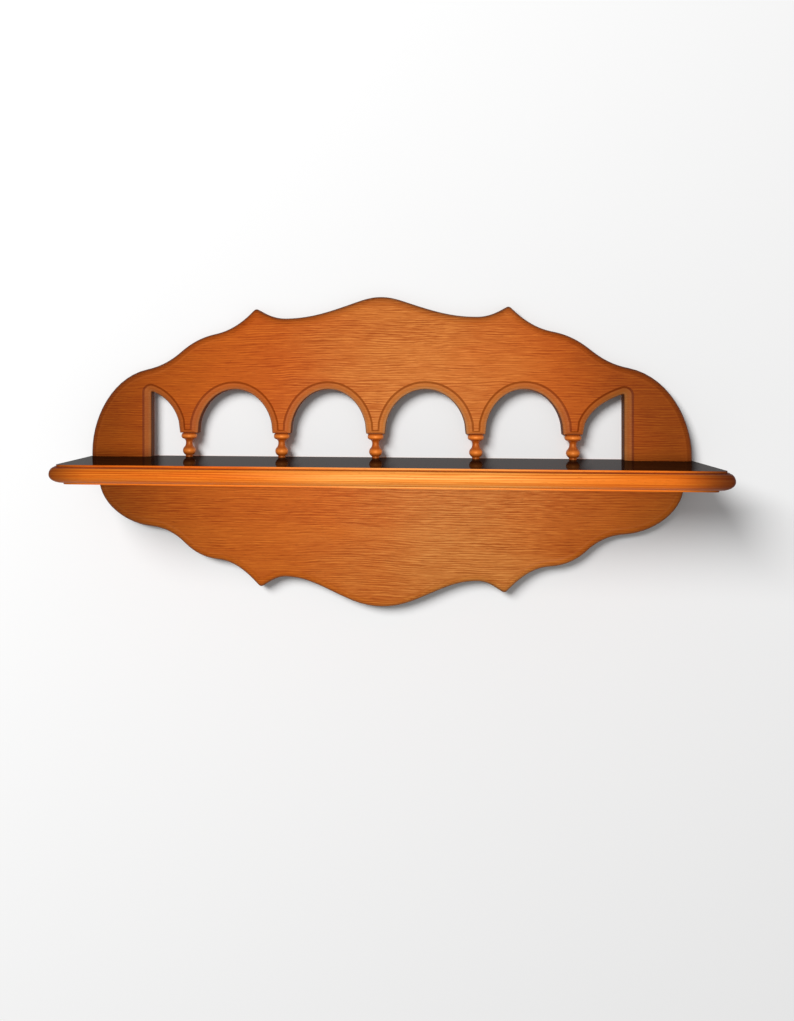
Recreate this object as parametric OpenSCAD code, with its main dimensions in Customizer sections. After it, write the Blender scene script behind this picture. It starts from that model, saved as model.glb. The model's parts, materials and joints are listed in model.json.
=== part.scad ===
// Wall plate rack in oak: a moulded shelf between two scalloped boards. The crest board above it
// is cut with an arcade that stands on five turned spindles, and the apron board hangs below it.
// The wall is the plane y = 0, the front faces -y, z is up, and the origin lies midway between
// the entry holes of the two keyhole hangers. Outlines are drawn with z = 0 at the shelf's top.

/* [Crest board] */
// Width of the crest board over its rounded ends
board_w = 767; // [740:1:820]
// Thickness of the crest and apron boards
board_t = 19; // [18:0.5:24]
// Height of the crest above the shelf at its centre
crest_h = 207; // [200:1:230]
// Distance from the centre to the end of the middle hump
crest_hump_x = 34; // [28:1:50]
// Drop of the hump's end below the centre
crest_hump_drop = 7.3; // [5:0.1:9]
// Distance from the centre to each dip
crest_dip_x = 123; // [115:1:128]
// Drop of the dips below the centre
crest_dip_drop = 26.5; // [22:0.5:32]
// Distance from the centre to each pointed peak
crest_peak_x = 162; // [156:1:170]
// Drop of the peaks below the centre
crest_peak_drop = 13; // [8:0.5:17]
// Distance from the centre to the step outside each peak
crest_step_x = 216; // [208:1:224]
// Drop of the step below the centre
crest_step_drop = 46; // [40:1:52]
// Distance from the board's end in to its round shoulder
crest_shoulder_in = 75.5; // [66:0.5:86]
// Height of the round shoulder above the shelf
crest_shoulder_h = 115; // [108:1:122]

/* [Arcade] */
// Distance from the left leg to the first spindle
left_bay = 50.5; // [44:0.5:64]
// Distance from the last spindle to the right leg
right_bay = 61.5; // [44:0.5:70]
// Width of each arch tip over its spindle
tip_w = 24.5; // [21:0.5:30]
// How far each arch tip and its spindle stand to the right of the even spacing
tip_shift = [0, 0, -1, 3, 0];
// Height of the arches above their springing
arch_rise = 57.7; // [50:0.1:66]
// Width of each end leg
leg_w = 81.5; // [70:0.5:90]
// How far the left half arch would run on past its leg's inner edge
left_overrun = 16; // [12:1:40]
// How far the right half arch would run on past its leg's inner edge
right_overrun = 40; // [12:1:50]

/* [Moulded edge of the boards] */
// Radius of the rounded front edge
edge_r = 9.5; // [6:0.5:10]
// Depth of the sharp step between the face and the round
edge_step = 1.5; // [0.5:0.25:2.5]
// Rise of the moulded band across the foot of each arch tip
tip_band = 5; // [3:0.5:7]
// Number of terraces that stand for the round
edge_terraces = 4; // [2:1:6]

/* [Apron board] */
// How much further in than the crest board the apron ends
apron_inset = 9.5; // [4:0.5:20]
// Drop of the apron below the shelf at its centre
apron_h = 166.5; // [155:0.5:185]
// Distance from the centre to the end of the middle drop
apron_hump_x = 48; // [40:1:60]
// Rise of that end above the lowest point
apron_hump_rise = 11.5; // [8:0.5:14]
// Distance from the centre to each hollow
apron_dip_x = 123; // [115:1:128]
// Rise of the hollows above the lowest point
apron_dip_rise = 35.5; // [30:0.5:40]
// Distance from the centre to each point
apron_peak_x = 156; // [150:1:162]
// Rise of the points above the lowest point
apron_peak_rise = 21; // [16:0.5:26]
// Distance from the centre to the step outside each point
apron_step_x = 212; // [205:1:220]
// Rise of the step above the lowest point
apron_step_rise = 56; // [50:1:62]
// Distance from the apron's end in to its round shoulder
apron_shoulder_in = 71; // [62:0.5:80]
// Drop of the round shoulder below the shelf
apron_shoulder_h = 68.5; // [62:0.5:76]

/* [Shelf] */
// Depth of the shelf from the wall to its moulded front
shelf_d = 140; // [110:1:180]
// Thickness of the shelf
shelf_t = 24; // [22:0.5:30]
// How far the moulding stands out past the flat of the top at the front
nose = 8.5; // [7:0.5:12]
// How far it stands out at the ends, where it is cut shallower
end_nose = 5.5; // [4:0.5:12]
// Radius of the moulding's softened front corners
corner_r = 8; // [1:0.5:12]
// Height of the square fillet along the top of the moulding
top_fillet = 2; // [1:0.25:3]
// Height of the square fillet along the bottom of the moulding
bottom_fillet = 2; // [1:0.25:3]
// Width of the ledge below the top fillet
ledge = 2.3; // [1:0.1:4]
// Depth of the moulding's widest line below the top
nose_line = 11; // [8:0.5:14]
// How far the underside is cut back from the widest line
undercut = 17; // [12:0.5:22]

/* [Spindles] */
// Height of each spindle between the shelf and the arch tips
spindle_h = 31.3; // [28:0.1:36]
// Diameter of the flat bead at the top
cap_d = 20.5; // [18:0.5:22]
// Height of that bead
cap_h = 7.4; // [6:0.1:8]
// Diameter of the neck
neck_d = 8.8; // [8:0.1:10]
// Diameter of the ball
ball_d = 16.8; // [14:0.1:18]
// Height of the ball's widest line above the shelf
ball_z = 8.3; // [7:0.1:9.5]
// Diameter of the foot
foot_d = 9.6; // [8.6:0.1:11]
// Diameter of the tenons at both ends
tenon_d = 6.4; // [5:0.1:8]
// Length of each tenon
tenon_l = 8; // [6:0.5:10]
// Gap between the wall and the back of the spindles' beads
wall_gap = 0.3; // [0.2:0.1:1]

/* [Dowels and screws] */
// Diameter of the dowels
dowel_d = 9.5; // [8:0.5:10]
// Length of the dowels
dowel_l = 34; // [30:1:36]
// Depth to which the dowels enter the shelf
dowel_in = 12; // [8:1:14]
// Distance from the apron's ends in to its outermost dowels
apron_dowel_in = 79; // [60:1:90]
// Diameter of the screws that hold the legs
leg_screw_d = 4.2; // [3.5:0.1:5]
// Length of the screws that hold the legs
leg_screw_l = 50; // [44:1:60]
// Distance of those screws from the middle of the leg
leg_screw_out = 23; // [18:1:26]

/* [Keyhole hangers] */
// Distance between the hangers' entry holes
hanger_spacing = 406.4; // [380:0.1:420]
// Height of the entry holes above the shelf
hang_z = 122; // [118:1:126]
// Diameter of the entry hole for a wall screw's head
entry_d = 9.5; // [8:0.5:10]
// Width of the slot for the wall screw's shank
slot_w = 4.8; // [4:0.1:5]
// Rise of the slot's end above the entry hole
slot_rise = 11; // [9:0.5:12]
// Thickness of the hanger plate
plate_t = 1.6; // [1.2:0.1:2.5]
// Width of the hanger plate
plate_w = 16; // [15:0.5:20]
// Distance from the entry hole down to the lower fixing screw
fixing_below = 11.5; // [11:0.5:13]
// Distance from the entry hole up to the upper fixing screw
fixing_above = 20.5; // [20:0.5:23]
// Diameter of the fixing screws
fixing_d = 3.2; // [2.8:0.1:3.5]
// Length of the fixing screws
fixing_l = 15.5; // [12:0.5:16]
// Width of the pocket behind the slot, for the wall screw's head
pocket_w = 12; // [11:0.5:14]
// Depth of that pocket from the board's back
pocket_depth = 9; // [7:0.5:12]

/* [Hidden] */
$fn = 48;

// Length of the straight pieces that make up a curved outline
facet = 10;
// Straight stretch of a board's end where it meets the shelf
end_straight = 5;
// Share of the distance between two knots that each tangent handle takes
pull = 0.36;
// Angle between the points of an arch or a moulding
arch_turn = 7.5;
nose_turn = 15;
// Turned profile: bulge of the bead at the top, height of the neck's narrowest line above midway,
// gap that a full ball would leave above the shelf, and the angles at which the ball runs into the
// neck and the neck flares into the bead
bead_bulge = 2.7;
neck_lift = 1.5;
ball_lift = 1;
ball_high = 42;
flare = 25;
ball_points = 8;
neck_points = 5;
bead_turn = 18;
// Radial clearance around tenons, dowels and screws, and free depth beyond their ends
clearance = 0.1;
end_room = 1;
// Clearance around the hanger plate in its recess
plate_room = 0.15;
// Bevel at the ends of the dowels
dowel_bevel = 1;
// Wood screws, as shares of the shank's diameter: the countersunk head's radius, its rim and its
// cone, the point, and the length, width and depth of the cross recess
head_share = 1;
rim_share = 0.1;
cone_share = 0.6;
point_share = 1.5;
cross_share = [1.1, 0.2, 0.5];
// Run of a cut past the surface that it opens
past = 1;
// How far each layer of a board reaches into the layer behind it
lap = 0.4;

arches = 4;
apron_dowel_n = 6;
half_w = board_w / 2;
shelf_w = board_w + 2 * end_nose;
jamb_x = half_w - leg_w;
pitch = (2 * jamb_x - left_bay - right_bay) / arches;
spindle_y = -(cap_d / 2 + wall_gap);
screw_y = -board_t / 2;

// Slopes of the outlines at the hump's end, before and after the peak, and at the step, waist
// and shoulder
crest_slopes = [19, 30, 46, 12, 40, 12];
apron_slopes = [23, 32, 46, 5, 44, 5];

oak = [0.72, 0.36, 0.12];
oak_light = [0.86, 0.45, 0.16];
dowel_wood = [0.80, 0.66, 0.45];
steel = [0.66, 0.66, 0.68];

function spindle_x(i) = left_bay - jamb_x + i * pitch + tip_shift[i];

// Points along a smooth curve between two knots, each [x, z, heading in, heading out], without
// the last point
function stretch(p, q, n) =
    let (a = [p[0], p[1]], d = [q[0], q[1]], reach = pull * norm(d - a))
    let (b = a + reach * [cos(p[3]), sin(p[3])], c = d - reach * [cos(q[2]), sin(q[2])])
    [for (i = [0 : n - 1]) let (t = i / n, s = 1 - t)
        s * s * s * a + 3 * s * s * t * b + 3 * s * t * t * c + t * t * t * d];

function pieces(p, q) = max(2, floor(norm([q[0] - p[0], q[1] - p[1]]) / facet));

// Half of a scalloped outline from its centre to the straight bit at its end
function scallop(end_x, h, hump, dip, peak, step, shoulder, slopes) =
    let (waist = (step + shoulder) / 2)
    let (knots = [
        [0, h, 0, 0],
        [hump.x, hump.y, -slopes[0], -slopes[0]],
        [dip.x, dip.y, 0, 0],
        [peak.x, peak.y, slopes[1], -slopes[2]],
        [step.x, step.y, -slopes[3], -slopes[3]],
        [waist.x, waist.y, -slopes[4], -slopes[4]],
        [shoulder.x, shoulder.y, -slopes[5], -slopes[5]],
        [end_x, end_straight, -90, -90]])
    concat([for (i = [0 : len(knots) - 2])
        each stretch(knots[i], knots[i + 1], pieces(knots[i], knots[i + 1]))],
        [[end_x, end_straight], [end_x, 0]]);

function both_sides(half) =
    concat([for (i = [len(half) - 1 : -1 : 1]) [-half[i].x, half[i].y]], half);

// A path moved in by d: every corner goes along its own mitre
function side(a, b) = [b.y - a.y, a.x - b.x] / norm(b - a);
function mitre(before, after) = (before + after) / (1 + before * after);
function inset(path, d) = let (last = len(path) - 1)
    [for (i = [0 : last]) path[i] + d * mitre(
        side(path[max(i - 1, 0)], path[max(i, 1)]),
        side(path[min(i, last - 1)], path[min(i + 1, last)]))];

crest_path = both_sides(scallop(half_w, crest_h,
    [crest_hump_x, crest_h - crest_hump_drop],
    [crest_dip_x, crest_h - crest_dip_drop],
    [crest_peak_x, crest_h - crest_peak_drop],
    [crest_step_x, crest_h - crest_step_drop],
    [half_w - crest_shoulder_in, crest_shoulder_h], crest_slopes));

apron_end = half_w - apron_inset;
apron_path = both_sides(scallop(apron_end, apron_h,
    [apron_hump_x, apron_h - apron_hump_rise],
    [apron_dip_x, apron_h - apron_dip_rise],
    [apron_peak_x, apron_h - apron_peak_rise],
    [apron_step_x, apron_h - apron_step_rise],
    [apron_end - apron_shoulder_in, apron_shoulder_h], apron_slopes));

// One arch over the point x, from angle a down to angle b, on an ellipse
function arc(x, z, half, rise, a, b) = let (n = max(2, ceil((a - b) / arch_turn)))
    [for (i = [0 : n]) let (t = a + (b - a) * i / n) [x + half * cos(t), z + rise * sin(t)]];

// The arcade's edge from the left leg to the right leg, grown by m into the wood
function arcade(m) =
    let (rise = arch_rise + m, foot_z = spindle_h + m * tip_band / edge_r)
    let (a = asin((foot_z - spindle_h) / rise))
    let (left_reach = spindle_x(0) - tip_w / 2 + jamb_x + left_overrun)
    let (right_reach = jamb_x + right_overrun - spindle_x(arches) - tip_w / 2)
    concat(
        [[-jamb_x - m, 0]],
        arc(-jamb_x - left_overrun, spindle_h, left_reach + m, rise,
            acos((left_overrun - m) / (left_reach + m)), a),
        [for (i = [0 : arches - 1]) let (x0 = spindle_x(i), x1 = spindle_x(i + 1))
            each arc((x0 + x1) / 2, spindle_h, (x1 - x0 - tip_w) / 2 + m, rise, 180 - a, a)],
        arc(jamb_x + right_overrun, spindle_h, right_reach + m, rise,
            180 - a, 180 - acos((right_overrun - m) / (right_reach + m))),
        [[jamb_x + m, 0]]);

function backwards(path) = [for (i = [len(path) - 1 : -1 : 0]) path[i]];

// Outlines of the two boards with their edges moved in by m
module crest_outline(m) polygon(concat(inset(crest_path, m), backwards(arcade(m))));
module apron_outline(m) polygon(inset(apron_path, m));

// Stands a flat shape on the wall plane, from depth y0 to depth y1 in front of it
module upright(y0, y1) translate([0, -y0, 0]) rotate([90, 0, 0]) linear_extrude(y1 - y0) children();

// Depth behind the face at angle a of the rounded edge
function round_depth(a) = edge_step + edge_r * (1 - sin(a));

// Terrace i of the rounded edge: how far in it stands, and its slab, lapped into the one behind
terrace_turn = 90 / edge_terraces;
function terrace_inset(i) = edge_r * (1 - cos((i + 0.5) * terrace_turn));
module terrace(i) upright(board_t - round_depth(i * terrace_turn) - lap,
    board_t - round_depth((i + 1) * terrace_turn)) children();

// Puts everything in place below the line of the hangers
module hung() translate([0, 0, -hang_z]) children();

// Wood screw of diameter d with a countersunk head, pointing down from its head at z = 0
module wood_screw(d, l) {
    head_r = head_share * d;
    cross = cross_share * d;
    difference() {
        rotate_extrude() polygon([[0, 0], [head_r, 0], [head_r, -rim_share * d],
            [d / 2, -cone_share * d], [d / 2, point_share * d - l], [0, -l]]);
        for (turn = [0, 90]) rotate([0, 0, turn])
            translate([-cross.x / 2, -cross.y / 2, -cross.z]) cube([cross.x, cross.y, cross.z + past]);
    }
}

// Hole for that screw, with room around its shank and beyond its point
module screw_hole(d, l) {
    head_r = head_share * d + clearance;
    cone_z = -cone_share * d - clearance;
    translate([0, 0, -l - end_room]) cylinder(h = l + end_room + past, d = d + 2 * clearance);
    rotate_extrude() polygon([[0, past], [head_r, past], [head_r, -rim_share * d],
        [d / 2, cone_z], [0, cone_z]]);
}

// Dowel with chamfered ends, standing up from z = 0
module dowel() {
    r = dowel_d / 2;
    rotate_extrude() polygon([[0, 0], [r - dowel_bevel, 0], [r, dowel_bevel],
        [r, dowel_l - dowel_bevel], [r - dowel_bevel, dowel_l], [0, dowel_l]]);
}

module dowel_hole() translate([0, 0, -end_room])
    cylinder(h = dowel_l + 2 * end_room, d = dowel_d + 2 * clearance);

module at_legs() for (side = [-1, 1]) translate([side * (half_w - leg_w / 2), screw_y, 0]) children();

module at_leg_dowels() at_legs() translate([0, 0, -dowel_in]) children();

module at_leg_screws() at_legs() for (side = [-1, 1])
    translate([side * leg_screw_out, 0, -shelf_t]) rotate([180, 0, 0]) children();

module at_apron_dowels() for (i = [0 : apron_dowel_n - 1])
    translate([(apron_end - apron_dowel_in) * (2 * i / (apron_dowel_n - 1) - 1), screw_y,
        dowel_in - shelf_t - dowel_l]) children();

module at_hangers() for (side = [-1, 1]) translate([side * hanger_spacing / 2, 0, hang_z]) children();

module at_fixings() for (z = [-fixing_below, fixing_above])
    translate([0, 0, z]) rotate([-90, 0, 0]) children();

// Upright slot with round ends, between heights z0 and z1 of its end centres
module slot(d, z0, z1, depth, start = 0) upright(start, depth) {
    translate([0, z0]) circle(d = d);
    translate([0, z1]) circle(d = d);
    translate([-d / 2, z0]) square([d, z1 - z0]);
}

module tenon_hole(z, l) for (i = [0 : arches]) translate([spindle_x(i), spindle_y, z])
    cylinder(h = l, d = tenon_d + 2 * clearance);

module crest_board() color(oak) hung() difference() {
    union() {
        upright(0, board_t - round_depth(0)) crest_outline(0);
        for (i = [0 : edge_terraces - 1]) terrace(i) crest_outline(terrace_inset(i));
        upright(board_t - edge_step - lap, board_t) crest_outline(edge_r);
    }
    tenon_hole(spindle_h - past, tenon_l + past + end_room);
    at_leg_dowels() dowel_hole();
    at_leg_screws() screw_hole(leg_screw_d, leg_screw_l);
    at_hangers() {
        slot(plate_w + 2 * plate_room, -fixing_below, fixing_above, plate_t, -past);
        slot(pocket_w, 0, slot_rise, pocket_depth, -past);
        at_fixings() screw_hole(fixing_d, fixing_l);
    }
}

module apron_board() color(oak) hung() difference() {
    translate([0, 0, -shelf_t]) mirror([0, 0, 1]) {
        upright(0, board_t - round_depth(0)) apron_outline(0);
        for (i = [0 : edge_terraces - 1]) terrace(i) apron_outline(terrace_inset(i));
        upright(board_t - edge_step - lap, board_t) apron_outline(edge_r);
    }
    at_apron_dowels() dowel_hole();
}

// The moulding's outline from top to bottom: [distance in from the widest line, z]
waist_z = bottom_fillet - shelf_t;
nose_path = concat(
    [[nose, 0], [nose, -top_fillet], [nose - ledge, -top_fillet]],
    [for (a = [90 : -nose_turn : nose_turn]) [(nose - ledge) * (1 - cos(a)),
        -nose_line + (nose_line - top_fillet - edge_step / 2) * sin(a)]],
    [for (a = [0 : nose_turn : 90]) [undercut * (1 - cos(a)),
        -nose_line + (waist_z + nose_line) * sin(a)]],
    [[undercut, -shelf_t]]);

// The same outline at the shelf's ends
end_path = [for (p = nose_path) [shelf_w / 2 - p.x * end_nose / nose, p.y]];

// The shelf seen from above, with its front corners softened
corner = [for (a = [0 : nose_turn : 90])
    [shelf_w / 2 + corner_r * (cos(a) - 1), -shelf_d + corner_r * (1 - sin(a))]];

module shelf_board() color(oak_light) hung() difference() {
    intersection() {
        rotate([90, 0, -90]) linear_extrude(shelf_w, center = true)
            polygon(concat([for (p = nose_path) [shelf_d - p.x, p.y]], [[0, -shelf_t], [0, 0]]));
        upright(0, shelf_d)
            polygon(concat(end_path, [for (p = backwards(end_path)) [-p.x, p.y]]));
        translate([0, 0, -shelf_t]) linear_extrude(shelf_t) polygon(concat(
            [[shelf_w / 2, 0]], corner, [for (p = backwards(corner)) [-p.x, p.y]],
            [[-shelf_w / 2, 0]]));
    }
    tenon_hole(-tenon_l - end_room, tenon_l + end_room + past);
    at_leg_dowels() dowel_hole();
    at_leg_screws() screw_hole(leg_screw_d, leg_screw_l);
    at_apron_dowels() dowel_hole();
}

// Turned profile from the shelf up: foot, ball, vase neck and flat bead, with a tenon at each end
bead_mid = spindle_h - cap_h / 2;
bead_core = cap_d / 2 - bead_bulge;
ball_rise = ball_z - ball_lift;
ball_low = acos(foot_d / ball_d);
ball_top = [ball_d / 2 * cos(ball_high), ball_z + ball_rise * sin(ball_high), 0, 90 + ball_high];
neck = [neck_d / 2, (ball_z + bead_mid) / 2 + neck_lift, 90, 90];
bead_foot = [bead_core, spindle_h - cap_h, flare, flare];
spindle_path = concat(
    [[0, -tenon_l], [tenon_d / 2, -tenon_l], [tenon_d / 2, 0], [foot_d / 2, 0]],
    [for (i = [0 : ball_points - 1]) let (a = (ball_low + ball_high) * i / ball_points - ball_low)
        [ball_d / 2 * cos(a), ball_z + ball_rise * sin(a)]],
    stretch(ball_top, neck, neck_points),
    stretch(neck, bead_foot, neck_points),
    [for (a = [-90 : bead_turn : 90])
        [bead_core + bead_bulge * cos(a), bead_mid + cap_h / 2 * sin(a)]],
    [[tenon_d / 2, spindle_h], [tenon_d / 2, spindle_h + tenon_l], [0, spindle_h + tenon_l]]);

module spindle(i) color(oak_light) hung() translate([spindle_x(i), spindle_y, 0])
    rotate_extrude() polygon(spindle_path);

module leg_dowels() color(dowel_wood) hung() at_leg_dowels() dowel();

module apron_dowels() color(dowel_wood) hung() at_apron_dowels() dowel();

module leg_screws() color(steel) hung() at_leg_screws() wood_screw(leg_screw_d, leg_screw_l);

module hanger_screws() color(steel) hung() at_hangers() at_fixings()
    wood_screw(fixing_d, fixing_l);

// Keyhole plate let in flush with the board's back
module hanger(side) color(steel) hung() translate([side * hanger_spacing / 2, 0, hang_z])
    difference() {
        slot(plate_w, -fixing_below, fixing_above, plate_t);
        slot(slot_w, 0, slot_rise, plate_t + past, -past);
        translate([0, past, 0]) rotate([90, 0, 0]) cylinder(h = plate_t + 2 * past, d = entry_d);
        at_fixings() screw_hole(fixing_d, fixing_l);
    }

crest_board();
apron_board();
shelf_board();
spindle(0);  // spindle_1
spindle(1);  // spindle_2
spindle(2);  // spindle_3
spindle(3);  // spindle_4
spindle(4);  // spindle_5
leg_dowels();
apron_dowels();
leg_screws();
hanger(-1);  // left_hanger
hanger(1);  // right_hanger
hanger_screws();
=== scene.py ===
"""Wall plate rack in stained oak, dressed around its CAD frame.

The crest board, apron board, shelf and spindles are modelled anew with their rounded and moulded
edges, and the CAD hangers, screws and dowels keep their own meshes under new finishes. Everything
is in metres in the frame of the CAD model: x to the right, y into the wall, z up.
"""

import json
import math

import bmesh
import bpy
from bpy.props import FloatProperty, FloatVectorProperty, PointerProperty
from mathutils import Matrix, Vector
from mathutils.geometry import intersect_point_line

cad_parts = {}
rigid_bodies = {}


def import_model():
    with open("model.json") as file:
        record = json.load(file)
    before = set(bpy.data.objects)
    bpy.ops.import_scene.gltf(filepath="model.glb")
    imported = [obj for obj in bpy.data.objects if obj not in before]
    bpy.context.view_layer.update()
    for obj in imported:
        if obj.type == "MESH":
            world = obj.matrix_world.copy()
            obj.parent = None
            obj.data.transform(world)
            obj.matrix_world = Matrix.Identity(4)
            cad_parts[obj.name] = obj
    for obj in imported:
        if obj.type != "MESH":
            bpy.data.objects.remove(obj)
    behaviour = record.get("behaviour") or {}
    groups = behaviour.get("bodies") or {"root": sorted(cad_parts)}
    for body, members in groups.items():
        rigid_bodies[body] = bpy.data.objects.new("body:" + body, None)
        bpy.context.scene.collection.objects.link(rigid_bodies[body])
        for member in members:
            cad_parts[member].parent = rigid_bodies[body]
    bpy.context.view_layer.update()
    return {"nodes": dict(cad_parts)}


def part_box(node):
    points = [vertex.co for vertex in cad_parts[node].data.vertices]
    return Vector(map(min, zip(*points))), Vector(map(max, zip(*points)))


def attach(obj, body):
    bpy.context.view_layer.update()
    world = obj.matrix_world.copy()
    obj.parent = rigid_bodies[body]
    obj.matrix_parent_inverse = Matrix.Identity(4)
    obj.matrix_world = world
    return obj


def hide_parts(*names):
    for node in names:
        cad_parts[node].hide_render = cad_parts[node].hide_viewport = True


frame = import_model()

bl_info = {
    "name": "Wall plate rack",
    "version": (1, 0, 0),
    "blender": (4, 5, 0),
    "location": "View3D > Sidebar > Plate rack",
    "description": "Models and stages a wall plate rack in stained oak",
    "category": "Add Mesh",
}

# Where the CAD pieces lie
CREST_LOW, CREST_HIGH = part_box("crest_board")
APRON_LOW, APRON_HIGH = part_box("apron_board")
SHELF_LOW, SHELF_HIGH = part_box("shelf_board")
SPINDLES = [name for name in sorted(frame["nodes"]) if name.startswith("spindle_")]
SPINDLE_BOXES = [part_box(name) for name in SPINDLES]
SPINDLE_X = [(low.x + high.x) / 2 for low, high in SPINDLE_BOXES]
SPINDLE_Y = (SPINDLE_BOXES[0][0].y + SPINDLE_BOXES[0][1].y) / 2
HANGER_BOXES = [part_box(name) for name in ("left_hanger", "right_hanger")]
SHELF_TOP = SHELF_HIGH.z
BOARD_T = -CREST_LOW.y

# Share of the distance between two knots that each handle of an outline takes
PULL = 0.36
# How far a board runs on past the shelf while its edge is moulded, before it is trimmed
SPARE = 0.014
# Distance within which no point of an outline may lie beside a sharp corner
CORNER_ROOM = 0.0107
# Steps in which an edge is rounded over
ROUND_STEPS = 8
# Distances below which two places count as the same, and as close to each other
SAME_PLACE = 1e-6
CLOSE = 1e-5
# How far above the arches' crowns and outside the legs' inner edges their moulding reaches
CROWN_BAND = 0.011
JAMB_BAND = 0.02
# Widths of the bevels on the mitres of the peaks and arch tips and where a jamb meets its arch
PEAK_EASE = 0.003
TIP_EASE = 0.0005
JAMB_EASE = 0.0015
# Falls of the outlines in degrees at the hump's end, up to and down from the peak, at the step,
# halfway to the shoulder and at the shoulder
CREST_SLOPES = (19, 30, 46, 12, 40, 12)
APRON_SLOPES = (23, 32, 46, 5, 44, 5)
# How far the rack drops onto its screws, and the play of a hanger plate in its recess
HANGER_DROP = 0.011
PLATE_PLAY = 0.0003
# Turn in degrees at which the shelf's upper curve ends, and its part of the corner's radius
NOSE_TURN = 85
CORNER_SHARE = 0.8
# Steps of each curved part of a turned profile, and round its axis
PROFILE_STEPS = 9
TURN_STEPS = 56


def number(name, default, description, **kind):
    """A number of the stage."""
    return FloatProperty(name=name, default=default, description=description, **kind)


def size(name, default, description):
    """A length of the rack."""
    return number(name, default, description, unit="LENGTH", precision=4)


def vector(name, default, description, **kind):
    """A place or shift of the stage."""
    return FloatVectorProperty(
        name=name, default=default, description=description, size=len(default), **kind
    )


def colour(name, default, description, most=1):
    """A colour in linear light, or a shade that other colours are multiplied with."""
    return vector(name, default, description, subtype="COLOR", min=0, max=most)


class RackOutline(bpy.types.PropertyGroup):
    """Sizes of the scalloped outlines and of the arcade"""

    hump_x: size("Crest hump", 0.034, "Distance from the centre to the end of the crest's hump")
    hump_drop: size("Crest hump drop", 0.0073, "Drop of the hump's end below the crest's top")
    dip_x: size("Crest dip", 0.123, "Distance from the centre to each dip of the crest")
    dip_drop: size("Crest dip drop", 0.0265, "Drop of the dips below the crest's top")
    peak_x: size("Crest peak", 0.162, "Distance from the centre to each peak of the crest")
    peak_drop: size("Crest peak drop", 0.013, "Drop of the peaks below the crest's top")
    step_x: size("Crest step", 0.216, "Distance from the centre to the step outside each peak")
    step_drop: size("Crest step drop", 0.046, "Drop of the step below the crest's top")
    shoulder_in: size("Crest shoulder", 0.0755, "Distance from the board's end to its shoulder")
    shoulder_h: size("Crest shoulder height", 0.115, "Height of the shoulder above the shelf")
    apron_hump_x: size("Apron drop", 0.048, "Distance from the centre to the end of the middle drop")
    apron_hump_rise: size("Apron drop rise", 0.0115, "Rise of that end above the lowest point")
    apron_dip_x: size("Apron hollow", 0.123, "Distance from the centre to each hollow")
    apron_dip_rise: size("Apron hollow rise", 0.0355, "Rise of the hollows above the lowest point")
    apron_peak_x: size("Apron point", 0.156, "Distance from the centre to each point of the apron")
    apron_peak_rise: size("Apron point rise", 0.021, "Rise of the points above the lowest point")
    apron_step_x: size("Apron step", 0.212, "Distance from the centre to the apron's step")
    apron_step_rise: size("Apron step rise", 0.056, "Rise of the step above the lowest point")
    apron_shoulder_in: size("Apron shoulder", 0.071, "Distance from the apron's end to its shoulder")
    apron_shoulder_h: size("Apron shoulder drop", 0.0685, "Drop of the shoulder below the shelf")
    leg_w: size("Leg", 0.0815, "Width of each end leg")
    tip_w: size("Arch tip", 0.0245, "Width of each arch tip over its spindle")
    arch_rise: size("Arch rise", 0.0571, "Height of the arches above their springing")
    left_overrun: size("Left overrun", 0.016, "How far the left half arch would run past its leg")
    right_overrun: size("Right overrun", 0.040, "How far the right half arch would run past its leg")


class RackMoulding(bpy.types.PropertyGroup):
    """Sizes of the moulded edges and of the turned profile"""

    edge_r: size("Edge radius", 0.0079, "Radius of the rounded front edge of the boards")
    edge_step: size("Quirk", 0.0012, "Depth of the sharp step between the face and the round")
    quirk_w: size("Quirk width", 0.0026, "Width of the quirk's slope, seen from the front")
    outer_step: size("Outer quirk", 0.0004, "Depth of that step along the scalloped outlines")
    tip_band: size("Tip band", 0.0037, "Rise of the moulded band across the foot of each arch tip")
    nose: size("Front moulding", 0.0085, "How far the shelf's moulding stands out at the front")
    end_nose: size("End moulding", 0.0055, "How far it stands out at the ends")
    fillet: size("Shelf fillet", 0.002, "Height of the square fillets of the moulding")
    ledge: size("Shelf ledge", 0.0023, "Width of the ledge below the top fillet")
    nose_line: size("Widest line", 0.011, "Depth of the moulding's widest line below the top")
    undercut: size("Undercut", 0.017, "How far the underside is cut back from the widest line")
    corner_r: size("Shelf corner", 0.008, "Radius of the moulding's softened front corners")
    tenon_l: size("Tenon", 0.008, "Length of the tenons at both ends of a spindle")
    bead_d: size("Spindle bead", 0.0205, "Diameter of the flat bead at a spindle's top")
    bead_h: size("Spindle bead height", 0.0074, "Height of that bead")
    neck_d: size("Spindle neck", 0.0088, "Diameter of the neck")
    ball_d: size("Spindle ball", 0.0168, "Diameter of the ball")
    ball_z: size("Ball height", 0.0083, "Height of the ball's widest line above the shelf")
    foot_d: size("Spindle foot", 0.0096, "Diameter of the foot")
    # How far the painted highlights on the ball and bead reach
    ball_highlight: size("Ball highlight", 0.005, "How far above and below its middle the ball's painted highlight reaches")
    bead_highlight: size("Bead highlight", 0.0032, "How far above and below its middle the bead's painted highlight reaches")
    plate_t: size("Hanger plate", 0.0016, "Thickness of the hanger plates")
    pocket_w: size("Hanger pocket", 0.012, "Width of the pocket behind each hanger's slot")
    pocket_depth: size("Pocket depth", 0.009, "Depth of that pocket from the board's back")


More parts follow.
